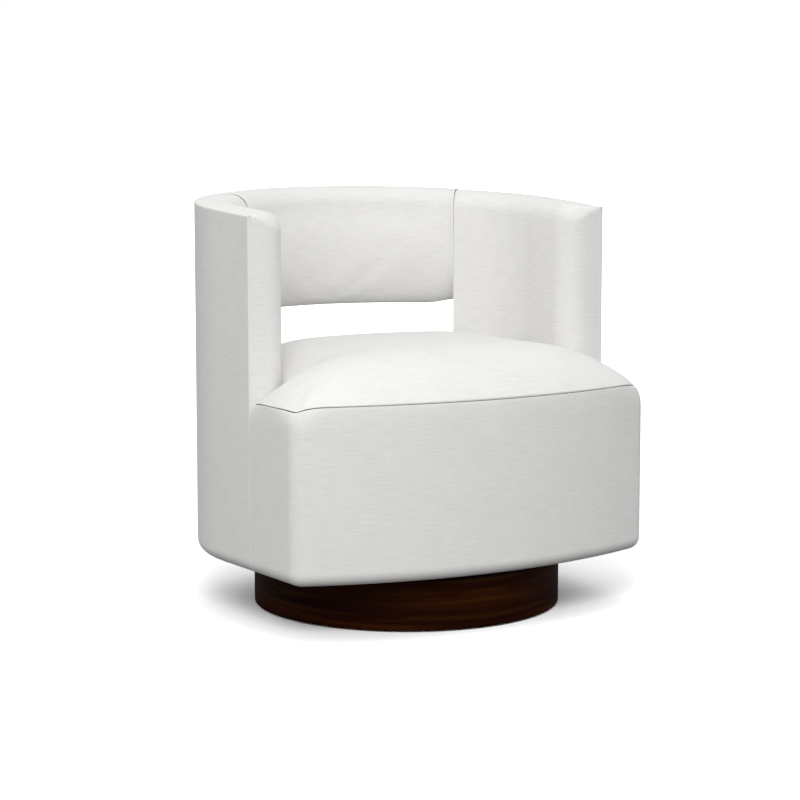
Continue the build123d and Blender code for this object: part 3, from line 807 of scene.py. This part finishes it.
def seam_edges(net, *edges):
    """Rounds a net's cloth in at its seams. Each edge is a side of the net: low or high, u or v."""
    turned = np.zeros(net.shape[:2])
    for edge in edges:
        axis = 0 if edge[0] == "u" else 1
        length = run_length(net, axis)
        if edge[1:] == "high":
            length = np.take(length, [-1], axis=axis) - length
        turned = np.maximum(turned, roll(length, seam_round))
    return net - normals(net) * turned[..., None]


def pad(name, net, layout, depth, seams, replaced, mirrored=False, hidden=None):
    """A padded panel of linen, rounded in at its seams and closed by its hidden side."""
    if hidden is None:
        net = seam_edges(net, *seams)
        hidden = net - normals(net) * depth
    if mirrored:
        net, hidden = net * (-1, 1, 1), hidden * (-1, 1, 1)
    points, faces, cloth = weld([net], [layout])
    backs = carried(points, [net], [hidden])
    if mirrored:
        faces = [face[::-1] for face in faces]
    form = close_form((points, faces, cloth), backs)
    made = make_piece(name, form, linen, "seat", "linen", *replaced)


def sweep(path, places, profiles):
    """The net along a path whose profiles, of insets and heights, are given for these places."""
    rows = []
    for s, profile in zip(places, profiles):
        inset, height = np.array(profile).T
        rows.append(np.column_stack([path(s, inset), height]))
    return np.array(rows)


def laid_flat(net, places):
    """A net's cloth laid flat, by its places along the path and its lengths across it."""
    return np.dstack([np.repeat(places[:, None], net.shape[1], 1), run_length(net, 1)])


rise = spread(1.0, 0.025, 0.0025, 0.02)


def cover_profile(top, draw):
    """The hem, the turn at the foot, and the upright that is drawn in towards its top."""
    heights = body_bottom + tuck + (top - body_bottom - tuck) * rise[1:]
    leaning = np.clip((heights - top) / 0.038 + 1, 0, 1)
    profile = [(hem, body_bottom), (0.027, body_bottom)]
    for turn in np.linspace(-pi / 2, 0, 10):
        profile.append((tuck - tuck * cos(turn), body_bottom + tuck + tuck * sin(turn)))
    return profile + list(zip(draw * (1 - np.sqrt(1 - leaning**2)), heights))


def outside_cover(name, net, seams, replaced, mirrored=False):
    """An outside cover, laid flat by its length just above the turn at its foot."""
    layout = laid_flat(net, run_length(net[:, hem_row], 0))
    pad(name, net, layout, cover_thickness, seams, [replaced], mirrored)


places = spread(2 * front_middle, 0.012)
corner_places = corner_run + np.linspace(0, corner_length, 14)
places = np.concatenate([places, corner_places, 2 * front_middle - corner_places])
places = np.unique(np.round(places, 5))
tops = seam_height(places) - seam_round - 0.0003
net = sweep(front, places, map(cover_profile, tops, draw_in(places)))
outside_cover("front_band", net[::-1], all_but_foot, "front_cover")

# ---- outside covers ------------------------------------------------------------------------------
# Linen over wadding and hardboard on the outside of both arms, on the back under the window, and on
# the back roll. Each is sewn to the inside panel along its top edge and turned under at its foot.
top_front = 0.7569
top_slope = (0.7874 - top_front) / (half_depth - arm_front)
window_sill = 0.432
roll_bottom = 0.5495


def arm_seam(x, y):
    """Height of the seam along the outer top edge of the arms and the back."""
    return top_front + top_slope * (y - arm_front)


arm_places = spread(arm_end, 0.010)
tops = arm_seam(*barrel(arm_places, 0.0).T)
net = sweep(barrel, arm_places, [cover_profile(top, 0.0) for top in tops])
sides = (("right", False), ("left", True))
for side, mirrored in sides:
    name = f"outside_arm_cover_{side}"
    outside_cover(name, net, all_but_foot, f"outside_arm_{side}", mirrored)

back_places = arm_end + spread(back_end - arm_end, 0.010)
net = sweep(barrel, back_places, [cover_profile(window_sill, 0.0)] * len(back_places))
outside_cover("outside_lower_back_cover", net, all_but_foot, "outside_back_lower")

roll_back_round = 0.016


def roll_foot(distance):
    """Height of the roll's underside, which is drawn up towards its two ends."""
    end = np.minimum(distance - arm_end, back_end - distance)
    return roll_bottom + 0.0075 * (1 - eased(end / 0.065))


def roll_back(distance):
    """The profile of the roll's outside: its rounded foot, and the upright over that."""
    top, foot = arm_seam(*barrel(distance, 0.0)), roll_foot(distance)
    profile = []
    for turn in np.linspace(-pi / 2, 0, 10):
        profile.append((roll_back_round * (1 - cos(turn)), foot + roll_back_round * (1 + sin(turn))))
    start = foot + roll_back_round
    return profile + [(0.0, start + (top - start) * t) for t in rise[1:]]


net = sweep(barrel, back_places, map(roll_back, back_places))
outside_cover("outside_roll_cover", net, all_round, "outside_back_roll")

# ---- arm pads ------------------------------------------------------------------------------------
# The inside panel of each arm goes over foam: up the inside, over the crowned top to the outer seam,
# and round the nose over the arm's front face to the upright seam. It has no seam along its edge.
pad_foot = 0.350
nose_round = 0.044
cap_round = 0.034
least_round = 0.0035
crown_height = 0.004
crown_run = 0.046
pad_depth = 0.016
seam_inset = 0.0012

nose_centre = np.array([0.0, arm_front + nose_round])
nose_rise = nose_centre[1] + nose_round * sin(side_lean) - arm_front - wall_thickness * sin(side_lean)
nose_s = nose_rise / cos(side_lean)
nose_centre[0] = barrel(nose_s, wall_thickness)[0] + nose_round * cos(side_lean)
front_run = arm_corner[0] - seam_inset - nose_centre[0]
nose_run = nose_round * (pi / 2 + side_lean)
path_length = front_run + nose_run + arm_end - nose_s


def arm_path(t):
    """The arm's front face, nose and inside, as one line from the upright seam to the window."""
    stitched = 0.0003 * np.exp(-(((t - 0.008) / 0.0013) ** 2))
    face = np.stack([arm_corner[0] - seam_inset - t, arm_front + roll(t, seam_round) + stitched], -1)
    turn = -pi / 2 - (t - front_run) / nose_round
    nose = nose_centre + nose_round * np.stack([np.cos(turn), np.sin(turn)], -1)
    wall = barrel(nose_s + t - front_run - nose_run, wall_thickness - roll(path_length - t, seam_round))
    on_face, on_nose = t < front_run, t < front_run + nose_run
    return np.where(on_face[..., None], face, np.where(on_nose[..., None], nose, wall))


def seam_place(t):
    """Where the column at a place on arm_path ends, along the outer seam."""
    first = front_run + nose_run
    return np.where(t < first, nose_s * t / first, nose_s + t - first)


edge_line = arm_path(np.linspace(0, path_length, 500))
outer_line = barrel(np.linspace(-0.01, arm_end, 300), seam_inset)


def top_crown(distance):
    """How far the top of the arms and the roll swells, at a distance from its outer seam."""
    return crown_height * (1 - (1 - np.clip(distance / crown_run, 0, 1)) ** 2)


def top_surface(plan):
    """Height of the arm's crowned and rounded top over a point in plan."""
    outer = edge_distance(plan, outer_line)
    edge = edge_distance(plan, edge_line)
    radius = least_round + (cap_round - least_round) * eased(outer / 0.062)
    window = (plan - (0, back_centre)) @ np.array([sin(window_end), -cos(window_end)])
    seams = np.maximum(roll(outer, seam_round), roll(np.maximum(window, 0), seam_round))
    return arm_seam(plan[..., 0], plan[..., 1]) + top_crown(outer) - roll(edge, radius) - seams


def upright(foot, heights, steps):
    """The part of a net that stands over a line in plan, up to the heights given for it."""
    z = pad_foot + (heights - pad_foot)[:, None] * steps[None]
    return np.dstack([np.repeat(foot[:, None], len(steps), 1), z])


def arm_net(distances, wall_steps, top_steps):
    """The net of an arm's inside panel, and that of the hidden side of its padding."""
    foot = arm_path(distances)
    seam = barrel(seam_place(distances), seam_inset)
    edge_height = top_surface(foot)
    plan = foot[:, None] + (seam - foot)[:, None] * top_steps[None, 1:, None]
    top = top_surface(plan)
    width = np.linalg.norm(seam - foot, axis=-1)
    depth = np.minimum(pad_depth, 0.4 * width)
    share = np.minimum(pad_depth / np.maximum(width, 1e-6), 0.4)
    hidden_foot = foot + (seam - foot) * share[:, None]
    steps = share[:, None] + (0.98 - share)[:, None] * top_steps[None, 1:]
    hidden_plan = foot[:, None] + (seam - foot)[:, None] * steps[..., None]
    shown = [upright(foot, edge_height, wall_steps), np.dstack([plan, top])]
    hidden = [
        upright(hidden_foot, edge_height - depth, wall_steps),
        np.dstack([hidden_plan, top - depth[:, None]]),
    ]
    return np.concatenate(shown, 1), np.concatenate(hidden, 1)


distances = spread(path_length, 0.008, 0.0008, 0.012)
quarter = 1 - np.cos(np.linspace(0, pi / 2, 22))
near_seam = 0.93
top_steps = np.concatenate([
    quarter * cap_round / wall_thickness,
    np.linspace(cap_round / wall_thickness, near_seam, 16)[1:],
    near_seam + 0.07 * np.linspace(0, 1, 8)[1:],
])
net, hidden_net = arm_net(distances, np.linspace(0, 1, 44), top_steps)
net, hidden_net, layout = net[::-1], hidden_net[::-1], laid_flat(net, distances)[::-1]
net = net + swell([net], [layout], 1.0, 0.002)[0]
for side, mirrored in sides:
    name = f"arm_pad_cover_{side}"
    pad(name, net, layout, pad_depth, (), [f"arm_pad_{side}"], mirrored, hidden_net)

# ---- window jambs --------------------------------------------------------------------------------
# The end of each arm beside the window: a narrow padded panel between the arm's inside and outside
# panels, from the sill up to the back roll.
jamb_depths = spread(wall_thickness, 0.008, 0.0008, 0.012)
jamb_heights = np.linspace(window_sill - 0.008, roll_bottom + 0.014, 24)
jamb_edge = np.minimum(jamb_depths, wall_thickness - jamb_depths)
jamb_plan = barrel(arm_end + 0.0006 - roll(jamb_edge, 0.006), jamb_depths)
net = np.array([[(x, y, z) for z in jamb_heights] for x, y in jamb_plan])
layout = np.stack(np.broadcast_arrays(jamb_depths[:, None], jamb_heights[None]), -1)
for side, mirrored in sides:
    pad(f"window_jamb_{side}", net, layout, 0.008, (), [], mirrored)

# ---- sill pad ------------------------------------------------------------------------------------
# The padded foot of the window: a band of linen over the sill rail that goes from the outside cover
# in over the top and down behind the seat.
sill_places = arm_end + spread(back_end - arm_end, 0.012)
sill_round = 0.014
profile = [(wall_thickness, z) for z in np.linspace(pad_foot, window_sill - sill_round, 8)]
profile += [
    (wall_thickness - sill_round * (1 - cos(turn)), window_sill - sill_round * (1 - sin(turn)))
    for turn in np.linspace(0, pi / 2, 8)[1:]
]
profile += [(d, window_sill) for d in np.linspace(wall_thickness - sill_round, seam_inset, 14)[1:]]
net = sweep(barrel, sill_places, [profile] * len(sill_places))
layout = laid_flat(net, sill_places)
pad("sill_pad_cover", net[::-1], layout[::-1], 0.008, all_but_foot, ["sill_pad"])

# ---- back roll -----------------------------------------------------------------------------------
# The padded roll between the arms, over the window. Its panel goes over the same crowned top as the
# arms', down the inside, and round a soft underside to a seam at the lower outer edge.
roll_round = 0.044
roll_rise = 0.132
roll_belly = 0.007


def roll_inside(distance):
    """The profile of the roll's panel, from the seam under it round to the one on its top."""
    top, foot = arm_seam(*barrel(distance, 0.0)), roll_foot(distance)
    near_end = min(distance - arm_end, back_end - distance)
    belly = roll_belly * (1 - np.exp(-((near_end / 0.03) ** 2)))
    profile = [(d, foot) for d in np.linspace(roll_back_round, wall_thickness - roll_round, 6)]
    for turn in np.linspace(0, pi / 2, 28)[1:]:
        deep = wall_thickness + belly - (roll_round + belly) * (1 - sin(turn))
        profile.append((deep, foot + roll_rise * (1 - cos(turn))))
    inner_top = top + crown_height - cap_round
    for share in np.linspace(0, 1, 20)[1:]:
        z = foot + roll_rise + (inner_top - foot - roll_rise) * share
        profile.append((wall_thickness + belly * cos(pi * share / 2) ** 2, z))
    for turn in np.linspace(0, pi / 2, 16)[1:]:
        profile.append((wall_thickness - cap_round * (1 - cos(turn)), inner_top + cap_round * sin(turn)))
    flat_top = np.linspace(wall_thickness - cap_round, seam_inset, 22)[1:]
    return profile + [(d, top + top_crown(d)) for d in flat_top]


roll_places = arm_end + spread(back_end - arm_end, 0.009, 0.0008, 0.013)
net = sweep(barrel, roll_places, map(roll_inside, roll_places))
net, layout = net[::-1], laid_flat(net, roll_places)[::-1]
net = net + swell([net], [layout], 1.0, 0.002)[0]
end = np.minimum(roll_places - arm_end, back_end - roll_places)
stitched = 0.0012 * np.exp(-(((end - 0.0085) / 0.0013) ** 2))
net = net - normals(net) * stitched[:, None, None]
pad("back_roll_cover", net, layout, pad_depth, all_round, ["back_roll"])

# ---- dust sheet ----------------------------------------------------------------------------------
# A black spunbonded sheet is stapled under the frame, over the turned-in hems, and cut out round the
# swivel.
dust_cloth = Finish("spunbonded_dust_cloth", Roughness=0.9)
dots = dust_cloth.node(
    "ShaderNodeTexVoronoi", {"Vector": dust_cloth.surface("Object"), "Scale": 420.0}, feature="F1"
)
dust_cloth.paint(Base_Color=dust_cloth.mixed(dots, (0.012, 0.012, 0.013), (0.035, 0.035, 0.037)))
dust_cloth.raise_by(dots, 0.0002, 0.6)


def outline(inset):
    """The closed outline of the chair in plan, this far in from its outside."""
    behind = barrel(np.linspace(0, back_middle, 120), inset)
    ahead = front(np.linspace(0, front_middle, 120), inset)
    return np.concatenate([
        behind, (behind * (-1, 1))[::-1][1:], (ahead * (-1, 1))[1:], ahead[::-1][1:-1]
    ])


sheet_height = 0.1048
sheet_sag = 0.0012
hole_radius = 0.196
rim = outline(0.022)
rim = np.concatenate([rim, rim[:1]])
bearings = np.arctan2(rim[:, 1] - swivel_y, rim[:, 0])
hole = np.stack([hole_radius * np.cos(bearings), swivel_y + hole_radius * np.sin(bearings)], -1)
steps = np.linspace(0, 1, 14)
layout = hole[:, None] + (rim - hole)[:, None] * steps[None, :, None]
sag = np.tile(sheet_sag * np.sin(pi * steps) ** 2, (len(rim), 1))
points, faces, cloth = weld([np.dstack([layout, sheet_height - sag])], [layout])
form = close_form((points, [face[::-1] for face in faces], cloth), points + (0, 0, 0.0006))
dust_sheet = make_piece("under_sheet", form, dust_cloth, "seat", "dust_cloth", "dust_sheet")

# ---- dust sheet staples --------------------------------------------------------------------------
# Zinc-plated wire staples hold the dust sheet to the bottom ring, one every 38 mm, driven by hand
# and so a little askew.
staple_height = 0.1046
askew_by = 0.12
staple_tree = bpy.data.node_groups.new("staples_along_line", "GeometryNodeTree")
for side, label, kind in (
    ("INPUT", "Line", "Geometry"),
    ("INPUT", "Spacing", "Float"),
    ("INPUT", "Crown size", "Vector"),
    ("OUTPUT", "Staples", "Geometry"),
):
    staple_tree.interface.new_socket(label, in_out=side, socket_type="NodeSocket" + kind)
graph = Network(staple_tree)
line, spacing, crown_size = [
    graph.node("NodeGroupInput", output=label) for label in ("Line", "Spacing", "Crown size")
]
curve = graph.node("GeometryNodeMeshToCurve", {"Mesh": line})
spaced = graph.node("GeometryNodeResampleCurve", {"Curve": curve, "Length": spacing}, mode="LENGTH")
tangent = graph.node("GeometryNodeInputTangent")
aligned = graph.node("FunctionNodeAlignRotationToVector", {"Vector": tangent}, axis="X")
askew = graph.node(
    "FunctionNodeRandomValue",
    {0: (0, 0, -askew_by), 1: (0, 0, askew_by), "Seed": 7},
    data_type="FLOAT_VECTOR",
)
turned = graph.node("FunctionNodeRotateRotation", {"Rotation": aligned, "Rotate By": askew})
staple = graph.node("GeometryNodeMeshCube", {"Size": crown_size})
placed = graph.node(
    "GeometryNodeInstanceOnPoints", {"Points": spaced, "Instance": staple, "Rotation": turned}
)
realized = graph.node("GeometryNodeRealizeInstances", {"Geometry": placed})
plated = graph.node("GeometryNodeSetMaterial", {"Geometry": realized, "Material": zinc.material})
group_output = staple_tree.nodes.new("NodeGroupOutput")
staple_tree.links.new(plated.socket, group_output.inputs["Staples"])
staple_line = [(x, y, staple_height) for x, y in outline(0.032)]
line_edges = [(i, (i + 1) % len(staple_line)) for i in range(len(staple_line))]
carrier = add_mesh("staple_line", staple_line, line_edges, [])
line_mesh = carrier.data
stapler = carrier.modifiers.new("staples", "NODES")
stapler.node_group = staple_tree
staple_sizes = {"Spacing": 0.038, "Crown size": (0.0110, 0.0011, 0.0007)}
for socket in staple_tree.interface.items_tree:
    if socket.name in staple_sizes:
        stapler[socket.identifier] = staple_sizes[socket.name]
stapled = carrier.evaluated_get(bpy.context.evaluated_depsgraph_get())
staples = add_object("dust_sheet_staples", bpy.data.meshes.new_from_object(stapled))
bpy.data.objects.remove(carrier)
bpy.data.meshes.remove(line_mesh)
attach(staples, "seat")
